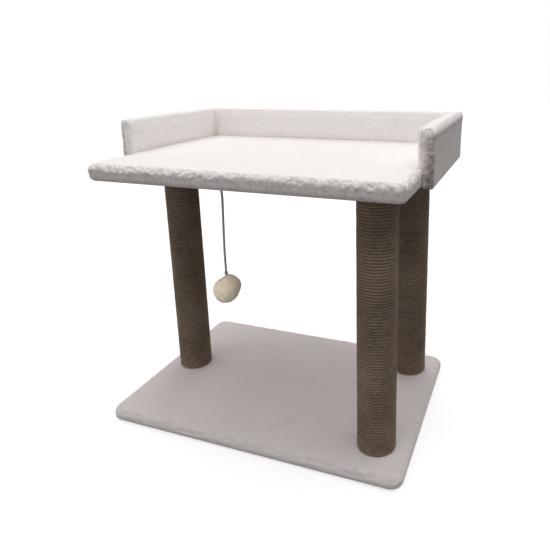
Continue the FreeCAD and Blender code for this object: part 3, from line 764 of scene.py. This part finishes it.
# Cloth over the board's faces, the slit of its seam under the foot, and how its filling pushes it out
cloth_thickness = 3 * mm
slit_width, slit_inset = 5 * mm, 12 * mm
filling_pressure, filling_limit = 4.0, 3 * mm
for side in walls:
    wall_low, wall_high = size_of("wall_" + side + "_plush")
    board_low, board_high = size_of("wall_" + side + "_board")
    wadding = size_of("wall_" + side + "_wadding")
    across = 1 if side == "back" else 0
    foot_low, foot_high = wall_low.copy(), wall_high.copy()
    foot_low[across] = board_low[across] - cloth_thickness
    foot_high[across] = board_high[across] + cloth_thickness
    pad_low, pad_high = wall_low.copy(), wall_high.copy()
    pad_low.z = platform_high.z + 0.1 * mm
    if side == "back":
        pad_low.x, pad_high.x = wadding[0].x - 4.5 * mm, wadding[1].x + 4.5 * mm
    else:
        pad_high.y = wadding[1].y + cloth_thickness
    filled = None
    rough_pad = with_modifier(wall_pad(), "REMESH", mode="VOXEL", voxel_size=4 * mm)
    filled = filled_out(rough_pad, held_wall, filling_pressure, filling_limit)
    round_edge, tight_edge = (8.5 if side == "right" else 5.0) * mm, 0.8 * mm
    foot_corners = {"left": (round_edge, tight_edge, tight_edge, round_edge), "back": (0, 0, 0, 0),
                    "right": (tight_edge, round_edge, round_edge, tight_edge)}[side]
    top_edge = (5 if side == "left" else 8) * mm
    bm = round_block(foot_low, foot_high, foot_corners, top_edge, 5.5 * mm, ends_square=side == "back")
    joined(bm, wall_pad())
    inset = Vector((slit_inset, slit_inset, 0))
    slit_low, slit_high = wall_low + inset, wall_high - inset
    middle = (board_low[across] + board_high[across]) / 2
    slit_low[across], slit_high[across] = middle - slit_width / 2, middle + slit_width / 2
    cover("wall_" + side + "_board", bm, 1.8 * mm, wall_lift, (slit_low, slit_high), platform_fleece,
          lambda place: place.z > wall_high.z - 14 * mm or side != "back" and place.y < wall_low.y + 14 * mm,
          0.5 * mm, wadding=wadding, filled=filled)


# Rope: a straight three-strand rope, laid along a path

def three_strand_rope(length, radius, lay, around, rings, lobe_depth=0.07):
    """A straight twisted rope along +X, made of whole lays, its points numbered by the strand attribute."""
    bm = bmesh.new()
    bmesh.ops.create_circle(bm, radius=radius, segments=around)
    for vert in bm.verts:
        angle = math.atan2(vert.co.y, vert.co.x)
        vert.co *= 1 - lobe_depth + lobe_depth * math.cos(3 * angle)
    bmesh.ops.rotate(bm, verts=bm.verts, cent=(0, 0, 0), matrix=Matrix.Rotation(math.pi / 2, 3, "Y"))
    edges = bm.edges[:]
    for _ in range(rings):
        verts, edges = pulled(bm, edges)
        bmesh.ops.translate(bm, vec=(lay / rings, 0, 0), verts=verts)
        bmesh.ops.rotate(bm, verts=verts, cent=(0, 0, 0),
                         matrix=Matrix.Rotation(2 * math.pi / rings, 3, "X"))
    lays = max(1, round(length / lay))
    bm = with_modifier(bm, "ARRAY", count=lays, use_relative_offset=False, use_constant_offset=True,
                       constant_offset_displace=(lay, 0, 0), use_merge_vertices=True,
                       merge_threshold=0.05 * mm)
    strand = bm.verts.layers.float_vector.new("strand")
    stretch = length / (lays * lay)
    for vert in bm.verts:
        angle = math.atan2(vert.co.z, vert.co.y) - 2 * math.pi * vert.co.x / lay
        vert.co.x *= stretch
        vert[strand] = (vert.co.x, radius * math.cos(angle), radius * math.sin(angle))
    bmesh.ops.recalc_face_normals(bm, faces=bm.faces)
    return bm


rope_radius = 2.5 * mm
rope_lay = 20 * mm
turns = 86
hairs_per_post = 110
turn_radius = tube_radius + 0.2 * mm + rope_radius
turn_length = 2 * math.pi * turn_radius
end_room = rope_radius + 0.15 * mm
first_level = post_low + end_room
pitch = (post_high - post_low - 2 * end_room) / turns


def wind(bm, middle, seed, start, first, climb):
    """Wraps a straight rope round a post, with the small unevenness of winding by hand."""
    for vert in bm.verts:
        along, out, rise = vert.co
        angle = along / turn_length * 2 * math.pi
        level = first + climb * angle / (2 * math.pi) + 1.06 * rise
        spot = Vector((math.cos(angle + start), math.sin(angle + start), 0))
        drift = noise.noise_vector(Vector((spot.x * 0.8, spot.y * 0.8, level / (14 * mm) + seed)))
        edge = min(1.0, (level - post_low) / (12 * mm), (post_high - level) / (12 * mm))
        reach = turn_radius + out + 0.25 * mm * drift.x
        vert.co = middle + spot * reach
        vert.co.z = level + 0.35 * mm * drift.z * max(0.0, edge)


def stray_fibres(middle, count):
    """Loose jute hairs that stand off the rope, each in three joints that narrow to its tip."""
    hair_radius = 0.11 * mm
    hairs = bmesh.new()
    for _ in range(count):
        bm = bmesh.new()
        bmesh.ops.create_circle(bm, cap_ends=False, radius=hair_radius, segments=3)
        verts, edges = bm.verts[:], bm.edges[:]
        angle = random.uniform(0, 2 * math.pi)
        spot = Vector((math.cos(angle), math.sin(angle), 0))
        tip = middle + spot * (turn_radius + rope_radius * 0.6)
        tip.z = random.uniform(post_low + 8 * mm, post_high - 12 * mm)
        aim = (spot * random.uniform(0.2, 0.8) + Vector((-spot.y, spot.x, 0)) * random.choice((-1, 1))
               * random.uniform(0.8, 1.6) + Vector((0, 0, random.uniform(-0.5, 0.5)))).normalized()
        turn = Vector((0, 0, 1)).rotation_difference(aim).to_matrix()
        bmesh.ops.rotate(bm, verts=verts, cent=(0, 0, 0), matrix=turn)
        bmesh.ops.translate(bm, vec=tip, verts=verts)
        bend = Matrix.Rotation(random.uniform(0.1, 0.4), 3,
                               Vector((random.uniform(-1, 1), random.uniform(-1, 1), 1)))
        for _ in range(3):
            verts, edges = pulled(bm, edges)
            step = aim * random.uniform(1.0, 2.0) * mm
            bmesh.ops.translate(bm, vec=step, verts=verts)
            tip = tip + step
            bmesh.ops.rotate(bm, verts=verts, cent=tip, matrix=bend)
            aim = bend @ aim
        bmesh.ops.scale(bm, vec=(0.3, 0.3, 0.3), verts=verts, space=Matrix.Translation(-tip))
        bmesh.ops.holes_fill(bm, edges=bm.edges, sides=0)
        joined(hairs, bm)
    return hairs


for seed, (post, middle) in enumerate(post_places.items()):
    around, rings = ((12, 9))
    bm = three_strand_rope(turns * turn_length, rope_radius, rope_lay, around, rings)
    wind(bm, middle, 10.0 * seed, 2.1 * seed, first_level, pitch)
    for level in (first_level, first_level + turns * pitch):
        end_turn = three_strand_rope(turn_length, rope_radius, rope_lay, around, rings)
        wind(end_turn, middle, 10.0 * seed, 2.1 * seed, level, 0.0)
        joined(bm, end_turn)
    joined(bm, stray_fibres(middle, hairs_per_post))
    piece_from(bm, "post_" + post + "_winding", "stand", post_jute, ["post_" + post + "_rope"])


# Toy: cord on its loop, and the ball

ball_low, ball_high = size_of("toy_ball_cover")
ball_middle = (ball_low + ball_high) / 2
ball_radius = (ball_high.z - ball_low.z) / 2
loop_low, loop_high = size_of("toy_loop")
knot_diameter = 10 * mm
knot_middle = (loop_low + loop_high) / 2
knot_middle.z = loop_low.z + knot_diameter / 2
cord_radius = 2 * mm
cord_gap = 0.3 * mm
cord_exit_level = loop_low.z - cord_gap
# The cord's route: millimetres to the right, back and down. It starts inside the knot.
cord_route = [(0.2, 0.1, -1.8), (2.6, -0.2, 12.0), (1.5, 0.3, 38.0), (0.4, 0.2, 72.0), (-0.6, -0.2, 116.0),
              (-0.4, 0.1, 147.5), (0.0, 0.0, 169.9)]

route = [Vector((knot_middle.x + x * mm, knot_middle.y + y * mm, cord_exit_level - below * mm))
         for x, y, below in cord_route]


def smooth_line(places):
    """The points of a NURBS curve that has these control points."""
    curve = bpy.data.curves.new("line", "CURVE")
    curve.dimensions = "3D"
    spline = curve.splines.new("NURBS")
    spline.points.add(len(places) - 1)
    for point, place in zip(spline.points, places):
        point.co = (*place, 1)
    spline.order_u = 3
    spline.use_endpoint_u = True
    spline.resolution_u = 24
    line_piece = put_in("line", curve)
    line_mesh = bpy.data.meshes.new_from_object(as_seen(line_piece))
    line = [vert.co.copy() for vert in line_mesh.vertices]
    bpy.data.meshes.remove(line_mesh)
    bpy.data.objects.remove(line_piece)
    bpy.data.curves.remove(curve)
    return line


cord_line = smooth_line(route)


def line_lengths(line):
    """How far along the line each of its points lies."""
    reached = [0.0]
    for a, b in zip(line, line[1:]):
        reached.append(reached[-1] + (b - a).length)
    return reached


def lay_along(bm, line):
    """Moves a straight rope onto a line of points."""
    reached = line_lengths(line)
    side = Vector((1, 0, 0))
    for vert in bm.verts:
        along, a, b = vert.co
        k = 0
        while k < len(line) - 2 and reached[k + 1] < along:
            k += 1
        way = (line[k + 1] - line[k]).normalized()
        across = (side - way * side.dot(way)).normalized()
        vert.co = line[k] + way * (along - reached[k]) + across * a + way.cross(across) * b


def closed_cord(line, radius):
    """A laid cord along a line, with closed ends."""
    bm = three_strand_rope(line_lengths(line)[-1], radius, 10 * mm, 12, 9, 0.06)
    lay_along(bm, line)
    bmesh.ops.holes_fill(bm, edges=open_edges(bm), sides=0)
    return bm


toy_cord = piece_from(closed_cord(cord_line, 1.15 * cord_radius), "toy_hanging_cord", "toy", grey_cord,
                      ["toy_cord"])

# The loop round the staple's crown, with the knot that closes it
apart = Vector((0, 3.2 * mm, 0))
crown = Vector((knot_middle.x, knot_middle.y, loop_high.z - cord_radius))
shank = knot_middle + Vector((0, 0, 5 * mm))
loop_route = [knot_middle - apart * 0.6, shank - apart * 1.25, crown - apart * 0.9,
              crown + apart * 0.9, shank + apart * 1.25, knot_middle + apart * 0.6]
bm = closed_cord(smooth_line(loop_route), 0.9 * cord_radius)
knot = bmesh.new()
bmesh.ops.create_icosphere(knot, subdivisions=4, radius=knot_diameter / 2)
strand = knot.verts.layers.float_vector.new("strand")
for vert in knot.verts:
    way = vert.co.normalized()
    phase = 2 * math.atan2(way.y, way.x) + 3.5 * way.z
    vert[strand] = (phase * 2 * mm, way.x * 5 * mm, way.z * 5 * mm)
    vert.co *= 0.86 + 0.14 * math.sqrt(abs(math.sin(phase)))
bmesh.ops.translate(knot, vec=knot_middle, verts=knot.verts)
joined(bm, knot)
piece_from(bm, "toy_loop_with_knot", "loop", grey_cord, ["toy_loop"])

# The ball's lumps and dents as it hangs: degrees round its outline from the right, millimetres out, and width
ball_lumps = [(71, 2.4, 0.42), (20, 1.9, 0.24), (180, 1.0, 0.5), (252, 2.6, 0.45), (118, -3.4, 0.36),
              (146, -0.8, 0.4), (-47, -2.0, 0.42), (-12, -0.6, 0.3)]
bm = bmesh.new()
bmesh.ops.create_icosphere(bm, subdivisions=6, radius=ball_radius)
painted_pile_shade = bm.verts.layers.float.new("pile")
for vert in bm.verts:
    way = vert.co.normalized()
    bulge = 0.8 * noise.noise(way * 1.7 + Vector((4.0, 1.0, 2.0)))
    bulge += 0.6 * noise.noise(way * 3.6 + Vector((1.0, 7.0, 3.0)))
    for degrees, out, width in ball_lumps:
        angle = math.radians(degrees)
        lump = level_right * math.cos(angle) + Vector((0, 0, math.sin(angle)))
        bulge += out * math.exp(-((way - lump).length / (2 * width)) ** 2)
    seam = math.exp(-(way.dot(Vector((0.35, 0.9, 0.15)).normalized()) / 0.045) ** 2)
    curl = tuft(way * ball_radius, 5 * mm, 3.0)
    fine = tuft(way * ball_radius, 2.6 * mm, 8.0)
    rise = bulge - 0.5 * seam - 0.8 * (1 - curl) - 0.5 * (1 - fine)
    # The pile is never pressed down to the filling, which lies 4 mm in
    rise = max(rise, 0.5 * curl - 3.4)
    # Painted shade in the hollows between the curls and along the seam, painted light on the curls' tips.
    vert[painted_pile_shade] = (0.4 + 0.4 * curl + 0.35 * fine) * (1 - 0.2 * seam)
    vert.co = way * (ball_radius + rise * mm)
bmesh.ops.translate(bm, vec=ball_middle, verts=bm.verts)
toy_ball = piece_from(bm, "toy_fleece_ball", "toy", ball_fleece, ["toy_ball_cover"])

# Whipping: thread wound round the cord where it goes into the ball
whip_low = ball_high.z + 3 * mm
whip_turns = 4
thread = 1.1 * mm
steps_round = 18
whip_start = Matrix.Translation((1.2 * cord_radius + thread / 3, 0, 0))
bm = bmesh.new()
bmesh.ops.create_circle(bm, radius=thread / 2, segments=8,
                        matrix=whip_start @ Matrix.Rotation(math.pi / 2, 4, "X"))
bmesh.ops.spin(bm, geom=bm.verts[:] + bm.edges[:], cent=(0, 0, 0), axis=(0, 0, 1),
               angle=2 * math.pi * whip_turns, steps=steps_round * whip_turns,
               dvec=(0, 0, thread / steps_round), use_merge=False)
bmesh.ops.holes_fill(bm, edges=open_edges(bm), sides=0)
bmesh.ops.recalc_face_normals(bm, faces=bm.faces)
strand = bm.verts.layers.float_vector.new("strand")
for vert in bm.verts:
    vert[strand] = (math.atan2(vert.co.y, vert.co.x) * cord_radius, vert.co.z, vert.co.xy.length)
whip_place = min(cord_line, key=lambda point: abs(point.z - whip_low))
bmesh.ops.translate(bm, vec=(whip_place.x, whip_place.y, whip_low), verts=bm.verts)
toy_whipping = piece_from(bm, "toy_cord_whipping", "toy", grey_cord)


# Floor, lamps and world

def seen_directly(tree):
    """1 for camera, glossy and transmission rays."""
    path = add(tree, "ShaderNodeLightPath")
    both = add(tree, "ShaderNodeMath", {0: path.outputs["Is Camera Ray"], 1: path.outputs["Is Glossy Ray"]},
               operation="MAXIMUM")
    return add(tree, "ShaderNodeMath", {0: both, 1: path.outputs["Is Transmission Ray"]}, operation="MAXIMUM")


bm = bmesh.new()
bmesh.ops.create_grid(bm, x_segments=1, y_segments=1, size=9)
mesh = mesh_of(bm, "floor")
floor = put_in("floor", mesh)
floor.location.z = -0.2 * mm
floor_finish, tree, shader, place = finish_named("pale_floor")
tree.nodes.remove(shader)
tree.nodes.remove(place.node)
dull = add(tree, "ShaderNodeBsdfDiffuse", {"Color": paint("#747474")})
bright = add(tree, "ShaderNodeBsdfDiffuse", {"Color": paint("#B4B4B4")})
glow = add(tree, "ShaderNodeEmission", {"Color": (1, 1, 1, 1), "Strength": 0.66})
shown = add(tree, "ShaderNodeAddShader", {0: bright, 1: glow})
both = add(tree, "ShaderNodeMixShader", {0: seen_directly(tree), 1: dull, 2: shown})
fill(tree, tree.nodes["Material Output"], {"Surface": both})
mesh.materials.append(floor_finish)

world = bpy.data.worlds.new("studio")
world.use_nodes = True
scene.world = world
tree = world.node_tree
strength = add(tree, "ShaderNodeMapRange", {"Value": seen_directly(tree), "To Min": 0.32, "To Max": 1.0})
fill(tree, tree.nodes["Background"], {"Strength": strength, "Color": (1, 1, 1, 1)})


def lamp(name, kind, place, aim, energy, **settings):
    """A lamp that stands at a place and looks at another."""
    data = bpy.data.lights.new(name, kind)
    data.energy = energy
    for key, value in settings.items():
        setattr(data, key, value)
    made = put_in(name, data)
    made.location = place
    made.rotation_euler = (Vector(aim) - Vector(place)).to_track_quat("-Z", "Y").to_euler()
    return made


# A wide soft sky above, a lamp behind, and a weak light from the front
lamp("overhead", "SUN", (0, 0.15, 2.5), (0, 0, 0), 2.2, angle=math.radians(82))
lamp("behind", "AREA", (-0.5, 1.25, 1.35), (0, 0, 0.1), 2, shape="SQUARE", size=0.5)
lamp("front", "SUN", (-0.9, -2.0, 0.3), (0, 0, 0), 0.4, angle=math.radians(60))
# The toy hangs in the platform's shade, so a wide reflector reaches in from the front for it alone
reflector = lamp("reflector", "SUN", (-0.4, -2.0, 0.7), (0, 0, 0.3), 1.15, angle=math.radians(90))
lit = bpy.data.collections.new("lit_by_reflector")
for piece in (toy_ball, toy_cord, toy_whipping):
    lit.objects.link(piece)
reflector.light_linking.receiver_collection = lit

scene.view_settings.view_transform = "Standard"
